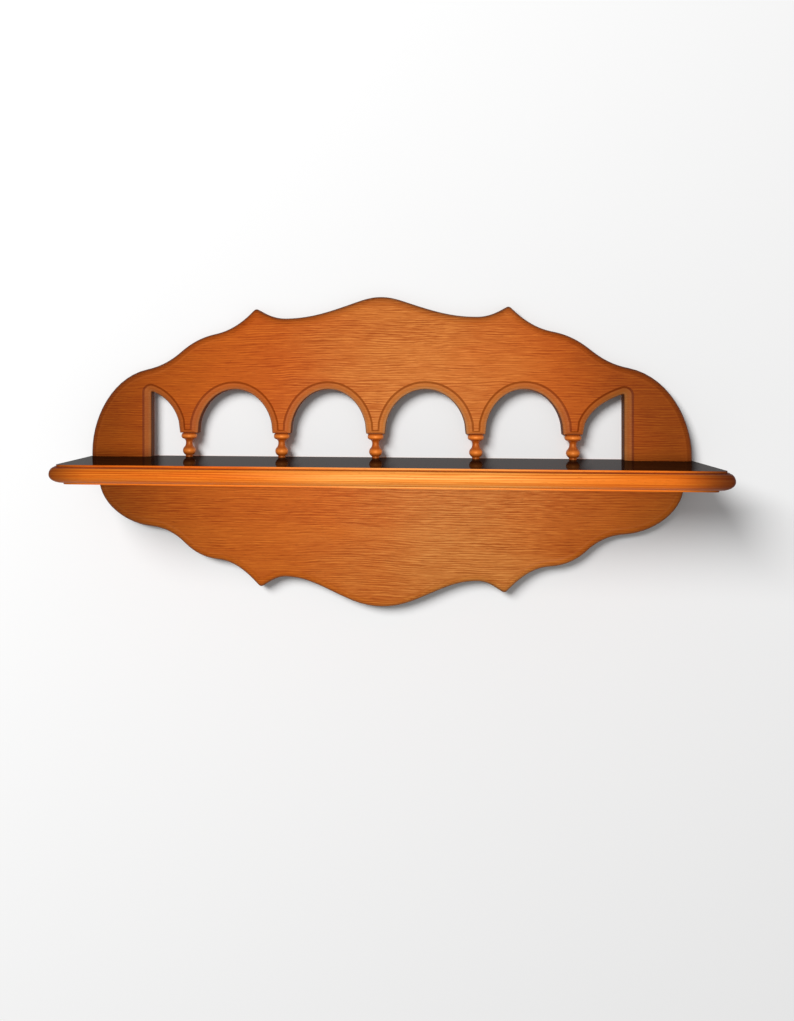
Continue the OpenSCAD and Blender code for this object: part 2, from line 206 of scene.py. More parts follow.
class RackFinish(bpy.types.PropertyGroup):
    """Colours of the wood, lacquer and metal, with the painted shade, sheen and highlights on the wood
    """

    face_pale: colour("Board, pale", (0.66, 0.225, 0.046), "Pale streaks of the boards")
    face_mid: colour("Board, middle", (0.52, 0.143, 0.022), "The boards' main colour")
    face_dark: colour("Board, dark", (0.36, 0.077, 0.007), "Grain lines of the boards")
    crest: colour("Crest", (1.0, 0.93, 0.70), "What the crest's stain does to those colours")
    # Partly the apron's stain, partly a painted sheen that leaves it greyer than the crest
    apron: colour("Apron", (0.91, 1.0, 1.0), "What the apron's stain and a painted sheen, greyer than the crest's, do to those colours")
    # Painted sheen: the boards' middles stay paler and greyer, and this shade takes it away towards the
    # sides
    face_sheen_fade: colour("Board sides", (1.0, 0.70, 0.28), "How the painted sheen in the boards' middle fades towards their sides")
    # Painted shade: the boards darken towards their ends, where the light falls off
    face_end_shade: colour("Board ends", (0.58, 0.60, 0.50), "Painted shade where the light falls off towards the boards' ends")
    # The bands are the face's wood, their colour greyed and paled as painted sheen
    band: colour("Arch bands", (0.46, 0.145, 0.037), "Main colour of the rounded bands of the arcade, greyed by painted sheen")
    # Painted sheen on the arch bands' middle, which this shade takes away towards the sides
    band_sheen_fade: colour("Band sides", (1.0, 0.74, 0.62), "How the painted sheen in the arch bands' middle fades towards their sides")
    # Painted shade on the arch bands towards the ends
    band_end_shade: colour("Band ends", (0.67, 0.86, 0.80), "Painted shade where the light falls off on the bands at the ends")
    # Painted sheen on the bands beside the openings
    band_sheen: colour("Band sheen", (1.2, 1.6, 3.0), "Painted sheen on the bands beside the openings", most=4)
    # Painted glint on the outer quirk towards the boards' ends
    quirk_glint: colour("Worn quirk", (1.12, 1.22, 2.2), "Painted glint on the outer quirk towards the ends", most=4)
    # Painted shade on the crest's outer band, which turns up away from the light
    crest_band_shade: colour("Crest band", (0.83, 0.80, 0.95), "Painted shade on the crest's outer band, where it turns up away from the light")
    # Painted shade where the rounds of the outlines turn away from the light
    outline_shade: colour("Rims", (0.32, 0.40, 0.60), "Painted shade where the rounds turn away along the outlines")
    # End grain's stain and painted shade on the sawn walls inside the arches
    sawn: colour("Sawn edges", (0.24, 0.19, 0.13), "Stain of the end grain and painted shade on the sawn walls inside the arches")
    # Painted shade in the quirk of the arches, with some stain gathered there
    quirk: colour("Quirk", (0.58, 0.50, 0.38), "Painted shade in the quirk of the arches, with stain gathered there")
    # Painted shade in the quirk of the outlines, with some stain gathered there
    outer_quirk: colour("Outer quirk", (0.94, 0.92, 0.95), "Painted shade in the quirk of the outlines, with stain gathered there")
    # The moulding's colours are set lighter than the boards' as painted light
    shelf_pale: colour("Shelf, pale", (0.90, 0.385, 0.085), "Pale wood of the shelf's moulding")
    shelf_mid: colour("Shelf, middle", (0.79, 0.255, 0.038), "Main colour of the moulding")
    shelf_dark: colour("Shelf, dark", (0.58, 0.135, 0.011), "Grain lines of the moulding")
    # Painted sheen in the moulding's middle, which this shade takes away towards the sides
    shelf_sheen_fade: colour("Shelf sides", (1.0, 0.65, 0.26), "How the painted sheen in the moulding's middle fades towards its sides")
    # End grain's stain and painted shade where the moulding rounds away at the shelf's ends
    shelf_end_grain_and_shade: colour("Shelf ends", (0.15, 0.13, 0.30), "End grain's stain and painted shade at the shelf's rounded ends")
    # Painted shade on the shelf's ledge, below the top fillet
    ledge: colour("Shelf ledge", (0.44, 0.095, 0.008), "Painted shade on the shelf's ledge, below the top fillet")
    # Painted shade: the shelf's top is coloured near black, as it looks in grazing light
    top: colour("Shelf top", (0.026, 0.009, 0.0045), "Painted shade that keeps the shelf's top near black")
    spindle_pale: colour("Spindle, pale", (0.50, 0.105, 0.007), "Pale streaks of the turned wood")
    spindle_mid: colour("Spindle, middle", (0.40, 0.07, 0.004), "Main colour of the turned wood")
    spindle_dark: colour("Spindle, dark", (0.27, 0.04, 0.003), "Grain of the turned wood")
    # Painted highlights on the middles of the ball and bead
    painted_highlight: colour("Spindle, painted highlight", (0.80, 0.20, 0.024), "Painted highlights on the middles of the ball and bead")
    gloss: colour("Spindle gloss", (1.0, 0.48, 0.17), "Tint of the highlights on the turned wood")
    zinc: colour("Zinc", (0.62, 0.63, 0.65), "Zinc plating of hangers and screws")
    beech: colour("Beech", (0.55, 0.33, 0.14), "Wood of the dowels")


class RackStage(bpy.types.PropertyGroup):
    """Camera, lights, wall and floor"""

    eye: vector("Camera", (0.03492, -1.069, -0.02194), "Place of the camera", unit="LENGTH")
    turn: number("Turn", 0.10638, "How far the camera turns to the left", unit="ROTATION")
    roll: number("Roll", -0.001416, "Roll of the camera about its axis", unit="ROTATION")
    lens: number("Lens", 28.98, "Focal length for a 36 mm sensor, in mm")
    shift: vector("Shift", (0.0753, -0.1275), "Shift of the camera's frame")
    wall: colour("Wall", (0.87, 0.87, 0.87), "The pale wall behind the rack, and the floor")
    wall_gap: size("Wall gap", 0.0006, "How far the wall lies behind the rack's back")
    floor_z: size("Floor", -1.25, "Height of the floor")
    key_place: vector("Key light", (0.03, -1.09, -0.10), "Place of the key light", unit="LENGTH")
    key_power: number("Key power", 2.58, "Power of the key light", unit="POWER")
    key_spread: number("Key spread", 1.6, "Spread of its beam", unit="ROTATION")
    key_width: size("Key width", 0.3, "Diameter of the key light")
    wall_place: vector("Wall light", (-3.3, -4.8, 2.9), "Place of the wall's light", unit="LENGTH")
    wall_power: number("Wall power", 480, "Power of the wall's light", unit="POWER")
    wall_width: size("Wall light width", 3.3, "Diameter of the wall's light")
    back_place: vector("Back light", (0.3, 1.6, 0.5), "Place of the light behind", unit="LENGTH")
    back_power: number("Back power", 9, "Power of the light behind", unit="POWER")
    back_width: size("Back width", 1.4, "Diameter of the light behind")
    sky: number("Sky", 0.3, "Strength of the soft light all round")


# Modelling


def deselect():
    """Leaves edit mode and selects nothing."""
    if bpy.context.object and bpy.context.object.mode != "OBJECT":
        bpy.ops.object.mode_set(mode="OBJECT")
    bpy.ops.object.select_all(action="DESELECT")


def pick(obj):
    """Makes one object the only selected and active one."""
    deselect()
    obj.select_set(True)
    bpy.context.view_layer.objects.active = obj


def edit(obj, mode="VERT"):
    """Opens an object in edit mode with all of it selected."""
    pick(obj)
    bpy.ops.object.mode_set(mode="EDIT")
    bpy.ops.mesh.select_mode(type=mode)
    bpy.ops.mesh.select_all(action="SELECT")


def select(test, kind="verts"):
    """Selects the vertices, edges or faces of the mesh being edited that pass a test."""
    mesh = bmesh.from_edit_mesh(bpy.context.object.data)
    for part in (*mesh.faces, *mesh.edges, *mesh.verts):
        part.select = False
    for part in getattr(mesh, kind):
        if test(part):
            part.select_set(True)
    bmesh.update_edit_mesh(bpy.context.object.data)


def extrude(move):
    """Extrudes what is selected by a vector."""
    bpy.ops.mesh.extrude_region_move(TRANSFORM_OT_translate={"value": move})


def step_in(inward, outward):
    """Insets the selected faces and moves them out along their normals."""
    bpy.ops.mesh.inset(thickness=inward, depth=outward, use_even_offset=True)


def round_over(inward, outward, turn=90):
    """Steps the selected faces in along a quarter of an ellipse, or as far as it is turned."""
    for i in range(ROUND_STEPS):
        a, b = (math.radians(turn * k / ROUND_STEPS) for k in (i, i + 1))
        step_in(inward * (math.cos(a) - math.cos(b)), outward * (math.sin(b) - math.sin(a)))


def slice_off(place, kept):
    """Cuts the mesh being edited along a plane, keeps the side that a vector points to, closes it."""
    bpy.ops.mesh.select_all(action="SELECT")
    bpy.ops.mesh.bisect(plane_co=place, plane_no=kept, use_fill=True, clear_inner=True)


def cut(obj, cutter):
    """Cuts a cutter out of an object and deletes the cutter."""
    pick(obj)
    modifier = obj.modifiers.new("Cut", "BOOLEAN")
    modifier.operation = "DIFFERENCE"
    modifier.solver = "EXACT"
    modifier.object = cutter
    bpy.ops.object.modifier_apply(modifier=modifier.name)
    bpy.data.objects.remove(cutter)


def apply_place(obj):
    """Moves an object's place, turn and scale into its mesh."""
    pick(obj)
    bpy.ops.object.transform_apply(location=True, rotation=True, scale=True)


def settle(obj, name, node, angle=32):
    """Names a finished piece, shades it and lets it stand for its CAD node."""
    apply_place(obj)
    bpy.ops.object.shade_smooth_by_angle(angle=math.radians(angle))
    obj.name = obj.data.name = name
    flat_faces(obj)
    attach(obj, "root")
    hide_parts(node)
    deselect()


# Outlines: lists of cubic pieces [start, handle, handle, end], each with True if it is straight


def heading(degrees):
    """The direction at an angle from the x axis."""
    return Vector((math.cos(math.radians(degrees)), math.sin(math.radians(degrees))))


def bend(p, q):
    """A smooth piece between two knots (x, z, heading in, heading out)."""
    a, d = Vector(p[:2]), Vector(q[:2])
    reach = PULL * (d - a).length
    return ([a, a + reach * heading(p[3]), d - reach * heading(q[2]), d], False)


def line(a, d):
    """A straight piece."""
    a, d = Vector(a), Vector(d)
    return ([a, a.lerp(d, 1 / 3), a.lerp(d, 2 / 3), d], True)


def arc(x, z, half, rise, start, end):
    """Quarter turns or less of an ellipse round (x, z), from one angle to another."""
    parts = max(1, math.ceil(abs(end - start) / 90 - 0.01))
    pieces = []
    for i in range(parts):
        a = math.radians(start + (end - start) * i / parts)
        b = math.radians(start + (end - start) * (i + 1) / parts)
        k = 4 / 3 * math.tan((b - a) / 4)
        p = [
            (math.cos(a), math.sin(a)),
            (math.cos(a) - k * math.sin(a), math.sin(a) + k * math.cos(a)),
            (math.cos(b) + k * math.sin(b), math.sin(b) - k * math.cos(b)),
            (math.cos(b), math.sin(b)),
        ]
        pieces.append(([Vector((x + half * u, z + rise * v)) for u, v in p], False))
    return pieces


def backwards(pieces, side=1):
    """The same path the other way round, mirrored left to right where side is -1."""
    turned = []
    for points, straight in reversed(pieces):
        turned.append(([Vector((side * p.x, p.y)) for p in reversed(points)], straight))
    return turned


def scallop(end_x, top, drops, shoulder, slopes, straight=0.005):
    """Half of a scalloped outline, from its centre to its end, in heights above the shelf.

    The drops of its hump, dip, peak and step are (x, how far it lies below the top).
    """
    hump, dip, peak, step = ((x, top - drop) for x, drop in drops)
    waist = ((step[0] + shoulder[0]) / 2, (step[1] + shoulder[1]) / 2)
    knots = [
        (0, top, 0, 0),
        (*hump, -slopes[0], -slopes[0]),
        (*dip, 0, 0),
        (*peak, slopes[1], -slopes[2]),
        (*step, -slopes[3], -slopes[3]),
        (*waist, -slopes[4], -slopes[4]),
        (*shoulder, -slopes[5], -slopes[5]),
        (end_x, straight, -90, -90),
    ]
    half = [bend(p, q) for p, q in zip(knots, knots[1:])]
    return half + [line((end_x, straight), (end_x, -SPARE))]


def drawn(knots, steps, closed=False):
    """A path on the wall plane as a mesh, through knots (place, handles before and after, kinds)."""
    deselect()
    bpy.ops.curve.primitive_bezier_curve_add(rotation=(math.radians(90), 0, 0))
    data = bpy.context.object.data
    data.resolution_u = steps
    data.splines.clear()
    spline = data.splines.new("BEZIER")
    spline.use_cyclic_u = closed
    spline.bezier_points.add(len(knots) - 1)
    for point, (place, before, after, kinds) in zip(spline.bezier_points, knots):
        point.handle_left_type, point.handle_right_type = kinds
        point.co = (*place, 0)
        point.handle_left = (*before, 0)
        point.handle_right = (*after, 0)
    bpy.ops.object.convert(target="MESH")
    apply_place(bpy.context.object)
    return bpy.context.object


def outline(pieces, base, up, steps=14):
    """A flat face of a closed outline as a mesh, its heights taken from a base, up 1 or down -1."""
    knots = []
    for i, (points, straight) in enumerate(pieces):
        before, was_straight = pieces[i - 1]
        kinds = ["VECTOR" if flag else "FREE" for flag in (was_straight, straight)]
        places = [(point.x, base + up * point.y) for point in (points[0], before[2], points[1])]
        knots.append((*places, kinds))
    obj = drawn(knots, steps, closed=True)
    edit(obj)
    bpy.ops.mesh.remove_doubles(threshold=CLOSE)
    bpy.ops.mesh.edge_face_add()
    return obj


def clear_corners(corners):
    """Dissolves the points beside each sharp corner, so that its mitre can run in."""
    def beside(vert):
        gaps = [(vert.co.xz - corner).length for corner in corners]
        return min(gaps) < CORNER_ROOM and min(gaps) > CLOSE

    select(beside)
    bpy.ops.mesh.dissolve_verts()


def mould_edge(moulding):
    """Turns the flat face being edited into a slab with a rounded front edge and a quirk."""
    select(lambda face: True, "faces")
    face = next(iter(bmesh.from_edit_mesh(bpy.context.object.data).faces))
    if face.normal.y > 0:
        bpy.ops.mesh.flip_normals()
    round_start = BOARD_T - moulding.edge_step - moulding.edge_r
    extrude((0, -round_start, 0))
    round_over(moulding.edge_r, moulding.edge_r)
    step_in(moulding.quirk_w, moulding.edge_step)


def shallow_outline(moulding, outer):
    """Brings the round up nearly flush with the face along the scalloped outline."""
    start = BOARD_T - moulding.edge_step - moulding.edge_r
    rise = (moulding.edge_r + moulding.edge_step - moulding.outer_step) / moulding.edge_r

    def on_round(vert):
        in_range = start + SAME_PLACE < -vert.co.y < BOARD_T - moulding.edge_step + SAME_PLACE
        return in_range and outer(vert.co)

    select(on_round)
    bpy.ops.transform.resize(value=(1, rise, 1), center_override=(0, -start, 0))


def soften_corners(corners, width):
    """Eases the mitres that run in from sharp corners of the outline."""
    mesh = bmesh.from_edit_mesh(bpy.context.object.data)
    inner = [vert.co.xz for vert in mesh.verts if abs(vert.co.y + BOARD_T) < CLOSE]
    mitres = [(corner, min(inner, key=lambda point: (point - corner).length)) for corner in corners]

    def on_mitre(edge):
        for a, b in mitres:
            gaps = [(v.co.xz - intersect_point_line(v.co.xz, a, b)[0]).length for v in edge.verts]
            near = all((v.co.xz - a).length < (b - a).length * 1.01 for v in edge.verts)
            if near and max(gaps) < 10 * CLOSE:
                return True
        return False

    select(on_mitre, "edges")
    bpy.ops.mesh.bevel(offset=width, segments=3, affect="EDGES")


def soften_face(width=0.0004):
    """Bevels the sharp arris round the front face."""
    def on_face(edge):
        front = all(abs(v.co.y + BOARD_T) < CLOSE for v in edge.verts)
        return front and any(abs(f.normal.y) < 0.5 for f in edge.link_faces)

    select(on_face, "edges")
    bpy.ops.mesh.bevel(offset=width, segments=2, affect="EDGES")


def finish_board(obj, moulding, outer, materials):
    """Gives a board its finishes, in the order of board_finishes, with the first on its back too."""
    for material in materials:
        obj.data.materials.append(material)
    for face in obj.data.polygons:
        is_outer = outer(face.center)
        step = moulding.outer_step if is_outer else moulding.edge_step
        depth = -face.center.y
        is_back = face.normal.y > 0.9
        if depth > BOARD_T - CLOSE or is_back:
            face.material_index = 0
        elif depth > BOARD_T - step + CLOSE:
            face.material_index = 4 if is_outer else 2
        else:
            face.material_index = 3 if is_outer else 1


def flat_faces(obj, area=0.005):
    """Shades the large flat faces of a piece flat, so that its rounds don't tint them."""
    edit(obj, "FACE")
    select(lambda face: face.calc_area() > area, "faces")
    bpy.ops.mesh.faces_shade_flat()
    deselect()


def recess(x, low_z, high_z, width, depth):
    """A cutter for an upright slot with round ends, let into the wall side of the crest board."""
    past_wall = 0.002
    deselect()
    bpy.ops.mesh.primitive_cylinder_add(
        vertices=48,
        radius=width / 2,
        depth=depth + past_wall,
        location=(x, (past_wall - depth) / 2, low_z),
        rotation=(math.radians(90), 0, 0),
    )
    cutter = bpy.context.object
    apply_place(cutter)
    edit(cutter)
    select(lambda vert: vert.co.z > low_z + SAME_PLACE)
    bpy.ops.transform.translate(value=(0, 0, high_z - low_z))
    bpy.ops.object.mode_set(mode="OBJECT")
    return cutter


def arcade_path(sizes, jamb, foot, tip):
    """The path round the arches from the left leg to the right leg, and the tops of both jambs."""
    left_x, right_x = -jamb - sizes.left_overrun, jamb + sizes.right_overrun
    left_reach = SPINDLE_X[0] - tip - left_x
    right_reach = right_x - SPINDLE_X[-1] - tip
    left_turn = math.degrees(math.acos(sizes.left_overrun / left_reach))
    right_turn = 180 - math.degrees(math.acos(sizes.right_overrun / right_reach))
    left_arch = arc(left_x, foot, left_reach, sizes.arch_rise, left_turn, 0)
    right_arch = arc(right_x, foot, right_reach, sizes.arch_rise, 180, right_turn)
    left_top, right_top = left_arch[0][0][0], right_arch[-1][0][3]
    path = [line((-jamb, -SPARE), left_top), *left_arch]
    for a, b in zip(SPINDLE_X, SPINDLE_X[1:]):
        path.append(line((a - tip, foot), (a + tip, foot)))
        path += arc((a + b) / 2, foot, (b - a) / 2 - tip, sizes.arch_rise, 180, 0)
    path.append(line((SPINDLE_X[-1] - tip, foot), (SPINDLE_X[-1] + tip, foot)))
    path += [*right_arch, line(right_top, (jamb, -SPARE))]
    return path, (left_top, right_top)


class RACK_OT_crest_board(bpy.types.Operator):
    """Models the crest board with its arcade, its moulded edge and the recesses for the hangers"""

    bl_idname = "rack.crest_board"
    bl_label = "Crest board"
    bl_options = {"REGISTER", "UNDO"}

    def execute(self, context):
        sizes, moulding = context.scene.rack_outline, context.scene.rack_moulding
        half_w, top = CREST_HIGH.x, CREST_HIGH.z - SHELF_TOP
        drops = (
            (sizes.hump_x, sizes.hump_drop),
            (sizes.dip_x, sizes.dip_drop),
            (sizes.peak_x, sizes.peak_drop),
            (sizes.step_x, sizes.step_drop),
        )
        shoulder = (half_w - sizes.shoulder_in, sizes.shoulder_h)
        half = scallop(half_w, top, drops, shoulder, CREST_SLOPES)
        jamb = half_w - sizes.leg_w
        foot = SPINDLE_BOXES[0][1].z - moulding.tenon_l - SHELF_TOP
        tip = sizes.tip_w / 2
        arcade, jamb_tops = arcade_path(sizes, jamb, foot, tip)
        legs = [line((half_w, -SPARE), (jamb, -SPARE)), line((-jamb, -SPARE), (-half_w, -SPARE))]
        pieces = backwards(half, -1) + half + [legs[0]] + backwards(arcade) + [legs[1]]
        board = outline(pieces, SHELF_TOP, 1)

        peaks = [(side * sizes.peak_x, top - sizes.peak_drop) for side in (-1, 1)]
        tips = [(x + side * tip, foot) for x in SPINDLE_X for side in (-1, 1)]
        feet = [(side * x, -SPARE) for x in (half_w, jamb) for side in (-1, 1)]
        lift = Vector((0, SHELF_TOP))
        clear_corners([Vector(point) + lift for point in peaks + tips + feet])
        for corner in jamb_tops:
            select(lambda vert: (vert.co.xz - corner - lift).length < 2 * CLOSE)
            bpy.ops.mesh.bevel(offset=JAMB_EASE, segments=6, affect="VERTICES")
        mould_edge(moulding)
        base = SHELF_TOP + foot
        crown = base + sizes.arch_rise

        def outer(place):
            return abs(place.x) > jamb + JAMB_BAND or place.z > crown + CROWN_BAND

        shallow_outline(moulding, outer)
        band = moulding.edge_r + moulding.quirk_w + 10 * CLOSE
        flatter = (1, 1, moulding.tip_band / moulding.edge_r)
        for x in SPINDLE_X:

            def at_tip(vert):
                return abs(vert.co.x - x) < tip + SAME_PLACE and abs(vert.co.z - base) < band

            select(at_tip)
            bpy.ops.transform.resize(value=flatter, center_override=(x, 0, base))
        soften_corners([Vector(point) + lift for point in peaks], PEAK_EASE)
        soften_corners([Vector(point) + lift for point in tips], TIP_EASE)
        soften_face()
        slice_off((0, 0, SHELF_TOP), (0, 0, 1))
        deselect()
        for low, high in HANGER_BOXES:
            x, r = (low.x + high.x) / 2, (high.x - low.x) / 2
            cut(board, recess(x, low.z + r, high.z - r, 2 * r + PLATE_PLAY, moulding.plate_t))
            cut(board, recess(x, 0, HANGER_DROP, moulding.pocket_w, moulding.pocket_depth))
        finish = context.scene.rack_finish
        # The crest's outer band is darkened as painted shade
        materials = board_finishes(finish, "Crest", finish.crest, finish.crest_band_shade, 0.04, -0.03)
        finish_board(board, moulding, outer, materials)
        settle(board, "crest_board_moulded", "crest_board")
        return {"FINISHED"}


class RACK_OT_apron_board(bpy.types.Operator):
    """Models the apron board below the shelf"""

    bl_idname = "rack.apron_board"
    bl_label = "Apron board"
    bl_options = {"REGISTER", "UNDO"}

    def execute(self, context):
        sizes, moulding = context.scene.rack_outline, context.scene.rack_moulding
        end, drop = APRON_HIGH.x, SHELF_LOW.z - APRON_LOW.z
        rises = (
            (sizes.apron_hump_x, sizes.apron_hump_rise),
            (sizes.apron_dip_x, sizes.apron_dip_rise),
            (sizes.apron_peak_x, sizes.apron_peak_rise),
            (sizes.apron_step_x, sizes.apron_step_rise),
        )
        shoulder = (end - sizes.apron_shoulder_in, sizes.apron_shoulder_h)
        half = scallop(end, drop, rises, shoulder, APRON_SLOPES)
        pieces = backwards(half, -1) + half + [line((end, -SPARE), (-end, -SPARE))]
        board = outline(pieces, SHELF_LOW.z, -1)
        points = [(side * sizes.apron_peak_x, drop - sizes.apron_peak_rise) for side in (-1, 1)]
        points += [(side * end, -SPARE) for side in (-1, 1)]
        corners = [Vector((x, SHELF_LOW.z - z)) for x, z in points]
        clear_corners(corners)
        mould_edge(moulding)
        shallow_outline(moulding, lambda place: True)
        soften_corners(corners[:2], PEAK_EASE)
        soften_face()
        slice_off((0, 0, SHELF_LOW.z), (0, 0, -1))
        deselect()
        finish = context.scene.rack_finish
        # The apron's shade is partly its stain and partly painted sheen
        materials = board_finishes(finish, "Apron", finish.apron, (1, 1, 1), 0.10, 0.0)
        finish_board(board, moulding, lambda place: True, materials)
        settle(board, "apron_board_moulded", "apron_board")
        return {"FINISHED"}


class RACK_OT_shelf(bpy.types.Operator):
    """Models the shelf with its moulded front and ends"""

    bl_idname = "rack.shelf"
    bl_label = "Shelf"
    bl_options = {"REGISTER", "UNDO"}

    def execute(self, context):
        moulding, finish = context.scene.rack_moulding, context.scene.rack_finish
        depth, thick = -SHELF_LOW.y, SHELF_HIGH.z - SHELF_LOW.z
        half_w = SHELF_HIGH.x - moulding.end_nose + moulding.nose
        deselect()
        bpy.ops.mesh.primitive_cube_add(size=1, location=(0, 0, SHELF_TOP - moulding.nose_line))
        shelf = bpy.context.object
        thin = 0.0002
        shelf.scale = (2 * half_w, 2 * depth, thin)
        apply_place(shelf)
        edit(shelf, "FACE")

        last = math.radians(NOSE_TURN)
        out = moulding.nose - moulding.ledge
        rise = moulding.nose_line - moulding.fillet - moulding.edge_step / 2
        select(lambda face: face.normal.z > 0.5, "faces")
        round_over(out, rise, NOSE_TURN)
        left_over = moulding.nose_line - moulding.fillet - rise * math.sin(last)
        step_in(out * math.cos(last), left_over)
        step_in(moulding.ledge, 0)
        extrude((0, 0, moulding.fillet))
        select(lambda face: face.normal.z < -0.5 and face.calc_area() > 0.1, "faces")
        round_over(moulding.undercut, thick - moulding.fillet - moulding.nose_line)
        extrude((0, 0, -moulding.fillet))
        slice_off((0, 0, 0), (0, -1, 0))
        share = moulding.end_nose / moulding.nose
        for side in (-1, 1):
            select(lambda vert: side * vert.co.x > half_w - moulding.undercut - CLOSE)
            bpy.ops.transform.resize(value=(share, 1, 1), center_override=(side * half_w, 0, 0))
            bpy.ops.transform.translate(value=(side * (SHELF_HIGH.x - half_w), 0, 0))

        def on_mitre(edge):
            a, b = (v.co for v in edge.verts)
            outer = min(abs(a.x), abs(b.x)) > SHELF_HIGH.x - moulding.undercut
            front = max(a.y, b.y) < moulding.undercut - depth + SAME_PLACE
            short = max(abs(a.x - b.x), abs(a.y - b.y)) < 0.02
            return outer and front and short

        select(on_mitre, "edges")
        bpy.ops.mesh.bevel(offset=moulding.corner_r * CORNER_SHARE, segments=6, affect="EDGES")
        deselect()
        low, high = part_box("leg_screws")
        dowel_low, dowel_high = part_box("leg_dowels")
        head_r, y = (high.y - low.y) / 2, (high.y + low.y) / 2
        leg_x = dowel_high.x - (dowel_high.y - dowel_low.y) / 2
        outer_x = -low.x - head_r
        inner_x = 2 * leg_x - outer_x
        sink_r, sink_rise = head_r * 1.6, head_r * 0.3
        for x in (-outer_x, -inner_x, inner_x, outer_x):
            deselect()
            bpy.ops.mesh.primitive_cone_add(
                vertices=48,
                radius1=sink_r,
                radius2=0,
                depth=sink_r,
                location=(x, y, SHELF_LOW.z + sink_rise),
            )
            cut(shelf, bpy.context.object)
        for material in shelf_finishes(finish):
            shelf.data.materials.append(material)
        # The top is coloured near black and the ledge darkened, both as painted shade
        ledge_low = SHELF_TOP - moulding.fillet - moulding.edge_step
        for face in shelf.data.polygons:
            if face.normal.z > 0.9 and face.center.z > SHELF_TOP - CLOSE:
                face.material_index = 1
            elif face.normal.z > 0.5 and face.center.z > ledge_low:
                face.material_index = 2
        settle(shelf, "shelf_moulded", "shelf_board")
        return {"FINISHED"}


class RACK_OT_spindles(bpy.types.Operator):
    """Turns one spindle and copies it under every arch tip"""

    bl_idname = "rack.spindles"
    bl_label = "Turned spindles"
    bl_options = {"REGISTER", "UNDO"}

    def execute(self, context):
        m, finish = context.scene.rack_moulding, context.scene.rack_finish
        low, high = SPINDLE_BOXES[0]
        height = high.z - low.z - 2 * m.tenon_l
        bead_mid = height - m.bead_h / 2
        # How far the bead is rounded out, the ball stays above the shelf, and the neck's narrowest
        # place lies above the middle between ball and bead
        bulge, foot_rise, neck_rise = 0.0027, 0.001, 0.0015
        # Degrees at which the ball ends, at which the neck flares out, and between two spindles
        ball_high, bead_flare, grain_turn = 42, 25, 70
        core = m.bead_d / 2 - bulge
        ball_low = math.degrees(math.acos(m.foot_d / m.ball_d))
        ball = arc(0, m.ball_z, m.ball_d / 2, m.ball_z - foot_rise, -ball_low, ball_high)
        neck = (m.neck_d / 2, (m.ball_z + bead_mid) / 2 + neck_rise, 90, 90)
        bead_foot = (core, height - m.bead_h, bead_flare, bead_flare)
        top = ball[-1][0][3]
        pieces = [
            line((0, 0), (m.foot_d / 2, 0)),
            line((m.foot_d / 2, 0), ball[0][0][0]),
            *ball,
            bend((top.x, top.y, 0, 90 + ball_high), neck),
            bend(neck, bead_foot),
            *arc(core, bead_mid, bulge, m.bead_h / 2, -90, 90),
            line((core, height), (0, height)),
        ]
        paths = [piece[0] for piece in pieces]
        first, end = paths[0][0], paths[-1][3]
        starts = [first] + [points[3] for points in paths]
        before = [first] + [points[2] for points in paths]
        after = [points[1] for points in paths] + [end]
        knots = [(*places, ("FREE", "FREE")) for places in zip(starts, before, after)]
        spindle = drawn(knots, PROFILE_STEPS)
        edit(spindle)
        bpy.ops.mesh.spin(steps=TURN_STEPS, angle=math.tau, center=(0, 0, 0), axis=(0, 0, 1))
        bpy.ops.mesh.select_all(action="SELECT")
        bpy.ops.mesh.remove_doubles(threshold=2 * CLOSE)
        bpy.ops.mesh.normals_make_consistent(inside=False)
        deselect()
        # Heights where the ball and bead get painted highlights
        painted_highlight = [(SHELF_TOP + m.ball_z, m.ball_highlight), (SHELF_TOP + bead_mid, m.bead_highlight)]
        spindle.data.materials.append(turned_oak(finish, painted_highlight))
        for i, (name, x) in enumerate(zip(SPINDLES, SPINDLE_X)):
            pick(spindle)
            bpy.ops.object.duplicate()
            copy = bpy.context.object
            copy.rotation_euler.z = math.radians(grain_turn * i)
            copy.location = (x, SPINDLE_Y, SHELF_TOP)
            settle(copy, f"turned_{name}", name, angle=40)
        bpy.data.objects.remove(spindle)
        return {"FINISHED"}


class RACK_OT_hardware(bpy.types.Operator):
    """Gives the hangers, screws and dowels their finishes"""

    bl_idname = "rack.hardware"
    bl_label = "Hangers, screws and dowels"
    bl_options = {"REGISTER", "UNDO"}

    def execute(self, context):
        finish = context.scene.rack_finish
        names = {
            zinc_plate(finish): ("left_hanger", "right_hanger", "hanger_screws", "leg_screws"),
            beech(finish): ("leg_dowels", "apron_dowels"),
        }
        for material, nodes in names.items():
            for name in nodes:
                slots = frame["nodes"][name].data.materials
                slots.clear()
                slots.append(material)
        return {"FINISHED"}


# Finishes

# Length and spacing in metres of the wood's broad figure and of its open pores, and the spacing
# of its growth lines
FIGURE = (0.25, 0.045)
PORES = (0.009, 0.0009)
GROWTH = 0.0031
# Distances from its middle at which a board's painted sheen starts to fade and is gone, and at
# which its painted shade towards the ends starts and is full, each with how far patches shift them
SHEEN_FADE_REACH = (0.03, 0.20, 0.16)
END_SHADE_REACH = (0.18, 0.39, 0.16)
# The y at which the bands' painted sheen, the sawn edges' stain and painted shade, and the outer
# bands' painted shade start and are full
BAND_SHEEN_Y = (-0.0174, -0.0146)
SAWN_Y = (-0.0139, -0.0116)
OUTLINE_SHADE_Y = (-0.0186, -0.0125)


def add(tree, kind, inputs=None, **settings):
    """A shader node with its settings and its inputs, which are values or other nodes' outputs."""
    node = tree.nodes.new(kind)
    for key, value in settings.items():
        setattr(node, key, value)
    for key, value in (inputs or {}).items():
        if isinstance(value, bpy.types.NodeSocket):
            tree.links.new(value, node.inputs[key])
        else:
            node.inputs[key].default_value = value
    return node


